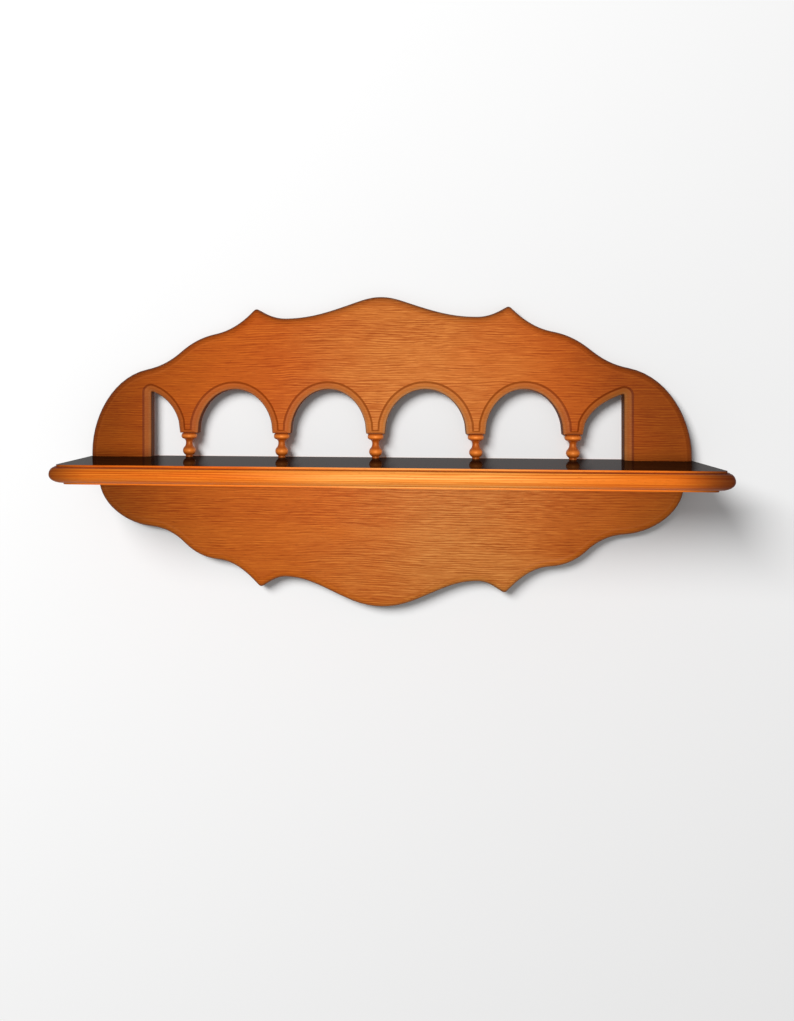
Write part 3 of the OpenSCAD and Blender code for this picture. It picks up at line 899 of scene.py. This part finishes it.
def maths(tree, operation, *values, kind="ShaderNodeMath"):
    """The result of a sum on values or other nodes' outputs."""
    return add(tree, kind, dict(enumerate(values)), operation=operation).outputs[0]


def new_material(name):
    """A material with its node tree and its shader."""
    material = bpy.data.materials.new(name)
    material.use_nodes = True
    return material, material.node_tree, material.node_tree.nodes["Principled BSDF"]


def rgba(value):
    """A colour with full alpha."""
    return (*value, 1.0)


def stretched(tree, coords, scale, detail=3.0, seed=0.0):
    """Noise drawn out along the grain: scale holds how many features fit in a metre along x, y, z."""
    shift = (seed, seed, seed)
    place = add(tree, "ShaderNodeMapping", {"Vector": coords, "Scale": scale, "Location": shift})
    settings = {"Vector": place.outputs[0], "Scale": 1.0, "Detail": detail, "Roughness": 0.6}
    return add(tree, "ShaderNodeTexNoise", settings).outputs["Fac"]


def ramp(tree, value, low, high, to_low=0.0, to_high=1.0):
    """Maps a value from one range to another, with soft ends."""
    ranges = {"Value": value, "From Min": low, "From Max": high, "To Min": to_low, "To Max": to_high}
    node = add(tree, "ShaderNodeMapRange", ranges, interpolation_type="SMOOTHSTEP")
    return node.outputs["Result"]


def mix(tree, factor, a, b, blend="MIX"):
    """Mixes two colours."""
    inputs = {0: factor, 6: a, 7: b}
    return add(tree, "ShaderNodeMix", inputs, data_type="RGBA", blend_type=blend).outputs[2]


def scaled(value, share):
    """A share of each part of a colour or vector."""
    return [share * part for part in value]


def tinted(value, shade):
    """A colour multiplied with a shade."""
    return [a * b for a, b in zip(value, shade)]


def grain_lines(tree, coords, along, length, spacing, detail=3.0, seed=0.0):
    """Noise drawn out along the grain, with streaks of a given length and spacing in metres."""
    fine, coarse = 2 / spacing, 1 / length
    scale = (coarse, fine, fine) if along == "x" else (fine, fine, coarse)
    return stretched(tree, coords, scale, detail=detail, seed=seed)


def growth_lines(tree, coords, along, length, spacing):
    """Growth lines and fibres around 0.5, which waver and fade in and out along the grain."""
    slow = grain_lines(tree, coords, along, length * 5, 0.06, detail=1, seed=2.3)
    quick = grain_lines(tree, coords, along, length, 0.012, detail=2, seed=4.1)
    phase = maths(tree, "MULTIPLY_ADD", quick, 10.0, maths(tree, "MULTIPLY", slow, 14.0))
    bands = {"Vector": coords, "Scale": math.pi / 10 / spacing, "Phase Offset": phase}
    across = "Z" if along == "x" else "X"
    wave = add(tree, "ShaderNodeTexWave", bands, bands_direction=across).outputs["Fac"]
    fade = grain_lines(tree, coords, along, length, 0.008, seed=6.4)
    strength = ramp(tree, fade, 0.36, 0.62, 0.15, 0.9)
    swing = maths(tree, "MULTIPLY", maths(tree, "SUBTRACT", wave, 0.5), strength)
    fibres = grain_lines(tree, coords, along, length * 0.6, spacing * 0.6, detail=2)
    return maths(tree, "ADD", maths(tree, "MULTIPLY_ADD", fibres, 2.0, -0.5), swing)


def deepened(tree, tone, factor, shade):
    """Multiplies a colour with a shade where the factor is 1."""
    return mix(tree, factor, tone, mix(tree, 1.0, tone, rgba(shade), "MULTIPLY"))


def distance(tree, value, origin):
    """How far a value is from another, either way."""
    return maths(tree, "ABSOLUTE", maths(tree, "SUBTRACT", value, origin))


def swaying(tree, here, along, wavy):
    """The place on the wood, shifted so that its grain sways."""
    place = add(tree, "ShaderNodeMapping", {"Vector": here, "Scale": (5, 5, 8)}).outputs[0]
    noise = {"Vector": place, "Scale": 1.0, "Detail": 1.0}
    wave = add(tree, "ShaderNodeTexNoise", noise).outputs["Color"]
    wave = maths(tree, "SUBTRACT", wave, (0.5, 0.5, 0.5), kind="ShaderNodeVectorMath")
    sway = scaled((0, 0.01, 0.013) if along == "x" else (0.004, 0.004, 0), wavy)
    return maths(tree, "MULTIPLY_ADD", wave, sway, here, kind="ShaderNodeVectorMath")


def oak(name, pale, middle, dark, along="x", length=0.042, wavy=1.0, contrast=1.0, **look):
    """Stained oak under lacquer: broad figure, growth lines, fibres and open pores.

    The look may hold these. rough and specular are the lacquer's.
    calm: the x it is measured from, the distance at which the grain is calmest, what is left of it.
    painted_highlight: a list of painted highlights, each (colour, the z of its middle, how far it
    reaches up and down).
    ends: a list of (shade, the x it is measured from, the distances at which it starts and is full,
    how far patches shift them).
    rims: a list of (shade, the y at which it starts, the y at which it is full).
    """
    material, tree, bsdf = new_material(name)
    here = add(tree, "ShaderNodeTexCoord").outputs["Object"]
    coords = swaying(tree, here, along, wavy)
    figure = grain_lines(tree, coords, along, *FIGURE, detail=2, seed=3.1)
    lines = growth_lines(tree, coords, along, length, GROWTH)
    pores = grain_lines(tree, coords, along, *PORES, detail=2, seed=7.7)
    x, y, z = add(tree, "ShaderNodeSeparateXYZ", {0: here}).outputs
    if "calm" in look:
        middle_x, end, share = look["calm"]
        away = ramp(tree, distance(tree, x, middle_x), 0.0, end, 1.0, share)
        lines = maths(tree, "MULTIPLY_ADD", maths(tree, "SUBTRACT", lines, 0.5), away, 0.5)
    tone = mix(tree, ramp(tree, lines, 0.5, 1.0, 0.0, contrast), rgba(middle), rgba(dark))
    tone = mix(tree, ramp(tree, lines, 0.5, 0.0, 0.0, contrast), tone, rgba(pale))
    tone = mix(tree, ramp(tree, figure, 0.42, 0.68, 0.0, 0.3), tone, rgba(pale))
    pore = ramp(tree, pores, 0.60, 0.72, 0.0, 0.6)
    tone = mix(tree, pore, tone, rgba(scaled(dark, 0.6)))
    # Painted highlights: paler colour round given heights
    for shade, middle_z, reach in look.get("painted_highlight", []):
        highlight_mask = ramp(tree, distance(tree, z, middle_z), 0.0, reach, 1.0, 0.0)
        tone = mix(tree, highlight_mask, tone, rgba(shade))
    for shade, middle_x, start, end, patchy in look.get("ends", []):
        away = distance(tree, x, middle_x)
        patches = stretched(tree, here, (7, 7, 12), detail=2, seed=11.3)
        patches = maths(tree, "SUBTRACT", patches, 0.5)
        away = maths(tree, "MULTIPLY_ADD", patches, patchy, away)
        tone = deepened(tree, tone, ramp(tree, away, start, end), shade)
    for shade, start, end in look.get("rims", []):
        tone = deepened(tree, tone, ramp(tree, y, start, end), shade)
    tree.links.new(tone, bsdf.inputs["Base Color"])
    rough = look.get("rough", 0.52)
    tree.links.new(ramp(tree, lines, 0.2, 0.9, rough, rough + 0.1), bsdf.inputs["Roughness"])
    bsdf.inputs["Specular IOR Level"].default_value = look.get("specular", 0.1)
    relief = {"Height": maths(tree, "ADD", lines, pore), "Strength": 0.1, "Distance": 0.0003}
    bump = add(tree, "ShaderNodeBump", relief, invert=True)
    tree.links.new(bump.outputs[0], bsdf.inputs["Normal"])
    return material


def lacquer(material, weight, rough):
    """Lays a clear coat over a finish."""
    bsdf = material.node_tree.nodes["Principled BSDF"]
    bsdf.inputs["Coat Weight"].default_value = weight
    bsdf.inputs["Coat Roughness"].default_value = rough
    return material


def board_finishes(finish, board, shade, outer_shade, sides_x, ends_x):
    """Finishes of a board: face, arch bands, their quirk, outer bands and their quirk.

    Its painted sheen fades away from sides_x, and painted shade darkens its ends away from ends_x.
    """
    tones = [tinted(tone, shade) for tone in (finish.face_pale, finish.face_mid, finish.face_dark)]
    band_tones = [tinted(tone, shade) for tone in (finish.face_pale, finish.band, finish.face_mid)]
    # The quirks' tones are darkened as painted shade, with some stain gathered in them
    outer_tones, quirk_tones, outer_quirk_tones = (
        [tinted(tone, other) for tone in tones]
        for other in (outer_shade, finish.quirk, finish.outer_quirk)
    )
    # The faces and bands keep a painted sheen in their middle that fades towards their sides
    sides, far = (sides_x, *SHEEN_FADE_REACH), (ends_x, *END_SHADE_REACH)
    # Painted shade darkens the faces and bands towards their ends
    ends = [(finish.face_sheen_fade, *sides), (finish.face_end_shade, *far)]
    band_end_shade = [(finish.band_sheen_fade, *sides), (finish.band_end_shade, *far)]
    # The outer quirk gets a painted glint towards the ends
    glint_ends = [*ends, (finish.quirk_glint, 0.0, 0.15, 0.26, 0.05)]
    # Painted sheen on the bands beside the openings, and stain and painted shade on the sawn walls
    band_rims = [(finish.band_sheen, *BAND_SHEEN_Y), (finish.sawn, *SAWN_Y)]
    # Painted shade on the outer bands towards the outlines
    outer_rims = [(finish.outline_shade, *OUTLINE_SHADE_Y)]
    calm = sides_x, 0.25, 0.7
    return [
        oak(f"{board} face oak", *tones, ends=ends, contrast=1.1, calm=calm),
        oak(f"{board} arch band oak", *band_tones, ends=band_end_shade, contrast=0.5, rims=band_rims),
        oak(f"{board} quirk oak", *quirk_tones, ends=ends, contrast=0.4),
        oak(f"{board} outer band oak", *outer_tones, ends=ends, rims=outer_rims, calm=calm),
        oak(f"{board} outer quirk oak", *outer_quirk_tones, ends=glint_ends, contrast=0.6),
    ]


def shelf_finishes(finish):
    """Finishes of the shelf: moulding in painted light, glossy top and ledge in painted shade."""
    tones = finish.shelf_pale, finish.shelf_mid, finish.shelf_dark
    # The ledge is darkened as painted shade
    ledge_shade_tones = finish.shelf_dark, finish.ledge, scaled(finish.ledge, 0.6)
    # The moulding keeps a painted sheen in its middle that fades towards its sides
    sides = (finish.shelf_sheen_fade, 0.05, 0.03, 0.26, 0.1)
    # The shelf's ends darken with end grain's stain and painted shade
    far = (finish.shelf_end_grain_and_shade, -0.01, 0.325, 0.40, 0.01)
    look = {"length": 0.2, "wavy": 0.1, "rough": 0.42, "ends": [sides, far]}
    front = oak("Shelf oak", *tones, contrast=0.9, specular=0.08, **look)
    # The top is coloured near black as painted shade
    top = oak("Shelf top oak", finish.top, finish.top, scaled(finish.top, 0.6), specular=0.0)
    ledge = oak("Shelf ledge oak", *ledge_shade_tones, **look)
    return [front, lacquer(top, 0.17, 0.04), ledge]


def turned_oak(finish, painted_highlight):
    """Turned spindles with painted highlights round some heights, whose lacquer has warm highlights."""
    tones = finish.spindle_pale, finish.spindle_mid, finish.spindle_dark
    # The ball and bead get painted highlights
    highlight_bands = [(finish.painted_highlight, *band) for band in painted_highlight]
    look = {"rough": 0.42, "specular": 1.0, "painted_highlight": highlight_bands}
    material = oak("Turned oak", *tones, along="z", contrast=0.5, **look)
    bsdf = material.node_tree.nodes["Principled BSDF"]
    bsdf.inputs["Specular Tint"].default_value = rgba(finish.gloss)
    return material


def beech(finish):
    """The plain wood of the dowels."""
    return oak("Beech", finish.beech, finish.beech, scaled(finish.beech, 0.8), along="z")


def zinc_plate(finish):
    """Bright zinc plating, faintly mottled."""
    material, tree, bsdf = new_material("Zinc plate")
    coords = add(tree, "ShaderNodeTexCoord").outputs["Object"]
    mottle = stretched(tree, coords, (260, 260, 260), detail=4)
    dull, bright = rgba(scaled(finish.zinc, 0.72)), rgba(finish.zinc)
    tone = mix(tree, ramp(tree, mottle, 0.3, 0.7), dull, bright)
    tree.links.new(tone, bsdf.inputs["Base Color"])
    tree.links.new(ramp(tree, mottle, 0.3, 0.7, 0.42, 0.26), bsdf.inputs["Roughness"])
    bsdf.inputs["Metallic"].default_value = 1.0
    return material


# Stage


def area_light(name, place, target, power, width, lit):
    """A round soft lamp that isn't seen itself and lights one group of pieces only."""
    deselect()
    bpy.ops.object.light_add(type="AREA", location=place)
    light = bpy.context.object
    light.name = light.data.name = name
    light.data.shape = "DISK"
    light.data.size = width
    light.data.energy = power
    light.rotation_euler = (Vector(target) - Vector(place)).to_track_quat("-Z", "Y").to_euler()
    light.visible_camera = False
    light.light_linking.receiver_collection = lit
    return light


def seen_rays(tree):
    """1 for rays that look at the backdrop, directly or in a gloss, and 0 for rays of light."""
    path = add(tree, "ShaderNodeLightPath").outputs
    seen = path["Is Camera Ray"]
    for kind in ("Is Glossy Ray", "Is Transmission Ray"):
        seen = maths(tree, "MAXIMUM", seen, path[kind])
    return seen


def backdrop(name, shade):
    """A matt surface that shows from its front only and lets soft light through."""
    material, tree, bsdf = new_material(name)
    bsdf.inputs["Base Color"].default_value = rgba(shade)
    bsdf.inputs["Roughness"].default_value = 0.9
    bsdf.inputs["Specular IOR Level"].default_value = 0.0
    behind = add(tree, "ShaderNodeNewGeometry").outputs["Backfacing"]
    solid = maths(tree, "MULTIPLY", seen_rays(tree), maths(tree, "SUBTRACT", 1.0, behind))
    clear = add(tree, "ShaderNodeBsdfTransparent").outputs[0]
    both = add(tree, "ShaderNodeMixShader", {0: solid, 1: clear, 2: bsdf.outputs[0]}).outputs[0]
    tree.links.new(both, tree.nodes["Material Output"].inputs["Surface"])
    return material


def soft_room(sky):
    """The soft light all round, which looks white."""
    world = bpy.data.worlds.new("Soft room")
    world.use_nodes = True
    tree = world.node_tree
    strength = maths(tree, "MULTIPLY_ADD", seen_rays(tree), 1 - sky, sky)
    background = tree.nodes["Background"].inputs
    background["Color"].default_value = (1, 1, 1, 1)
    tree.links.new(strength, background["Strength"])
    return world


class RACK_OT_stage(bpy.types.Operator):
    """Sets up the wall, floor, lights and camera"""

    bl_idname = "rack.stage"
    bl_label = "Stage"
    bl_options = {"REGISTER", "UNDO"}

    def execute(self, context):
        stage = context.scene.rack_stage
        deselect()
        upright = (math.radians(90), 0, 0)
        place = (0, stage.wall_gap, 0)
        bpy.ops.mesh.primitive_plane_add(size=8, location=place, rotation=upright)
        wall = bpy.context.object
        wall.name = "wall"
        wall.data.materials.append(backdrop("Wall", stage.wall))
        bpy.ops.mesh.primitive_plane_add(size=12, location=(0, 0, stage.floor_z))
        floor = bpy.context.object
        floor.name = "floor"
        floor.data.materials.append(backdrop("Floor", stage.wall))

        backdrops = bpy.data.collections.new("Backdrops")
        backdrops.objects.link(wall)
        backdrops.objects.link(floor)
        rack_only = bpy.data.collections.new("Rack only")
        for obj in context.scene.objects:
            if obj.type == "MESH" and obj not in (wall, floor):
                rack_only.objects.link(obj)
        middle = (0, 0, -0.1)
        ahead = (stage.key_place[0], 0, stage.key_place[2])
        key = area_light(
            "key_light", stage.key_place, ahead, stage.key_power, stage.key_width, rack_only
        )
        key.data.spread = stage.key_spread
        area_light(
            "wall_light", stage.wall_place, middle, stage.wall_power, stage.wall_width, backdrops
        )
        area_light(
            "back_light", stage.back_place, middle, stage.back_power, stage.back_width, rack_only
        )
        context.scene.world = soft_room(stage.sky)
        context.scene.view_settings.view_transform = "Standard"

        deselect()
        bpy.ops.object.camera_add(location=stage.eye)
        camera = bpy.context.object
        right = Vector((math.cos(stage.turn), math.sin(stage.turn), 0))
        back = Vector((math.sin(stage.turn), -math.cos(stage.turn), 0))
        facing = Matrix((right, Vector((0, 0, 1)), back)).transposed()
        camera.rotation_euler = (facing @ Matrix.Rotation(stage.roll, 3, "Z")).to_euler()
        camera.data.lens = stage.lens
        camera.data.sensor_width = 36
        camera.data.shift_x, camera.data.shift_y = stage.shift
        camera.data.clip_start = 0.01
        context.scene.camera = camera
        return {"FINISHED"}


class RACK_PT_panel(bpy.types.Panel):
    """Lists the sizes, colours and steps of the rack"""

    bl_idname = "RACK_PT_panel"
    bl_label = "Plate rack"
    bl_space_type = "VIEW_3D"
    bl_region_type = "UI"
    bl_category = "Plate rack"

    def draw(self, context):
        column = self.layout.column()
        for name, group in GROUPS.items():
            box = column.box()
            for key in group.__annotations__:
                box.prop(getattr(context.scene, name), key)
        for operator in OPERATORS:
            column.operator(operator.bl_idname)


GROUPS = {
    "rack_outline": RackOutline,
    "rack_moulding": RackMoulding,
    "rack_finish": RackFinish,
    "rack_stage": RackStage,
}
OPERATORS = (
    RACK_OT_crest_board,
    RACK_OT_apron_board,
    RACK_OT_shelf,
    RACK_OT_spindles,
    RACK_OT_hardware,
    RACK_OT_stage,
)
CLASSES = (*GROUPS.values(), *OPERATORS, RACK_PT_panel)


def register():
    """Registers the classes and hangs the groups of sizes on the scene."""
    for cls in CLASSES:
        bpy.utils.register_class(cls)
    for name, group in GROUPS.items():
        setattr(bpy.types.Scene, name, PointerProperty(type=group))


def unregister():
    """Takes back what register does."""
    for name in GROUPS:
        delattr(bpy.types.Scene, name)
    for cls in reversed(CLASSES):
        bpy.utils.unregister_class(cls)


def main():
    """Registers the add-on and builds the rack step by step."""
    register()
    bpy.ops.rack.crest_board()
    bpy.ops.rack.apron_board()
    bpy.ops.rack.shelf()
    bpy.ops.rack.spindles()
    bpy.ops.rack.hardware()
    bpy.ops.rack.stage()


if __name__ == "__main__":
    main()
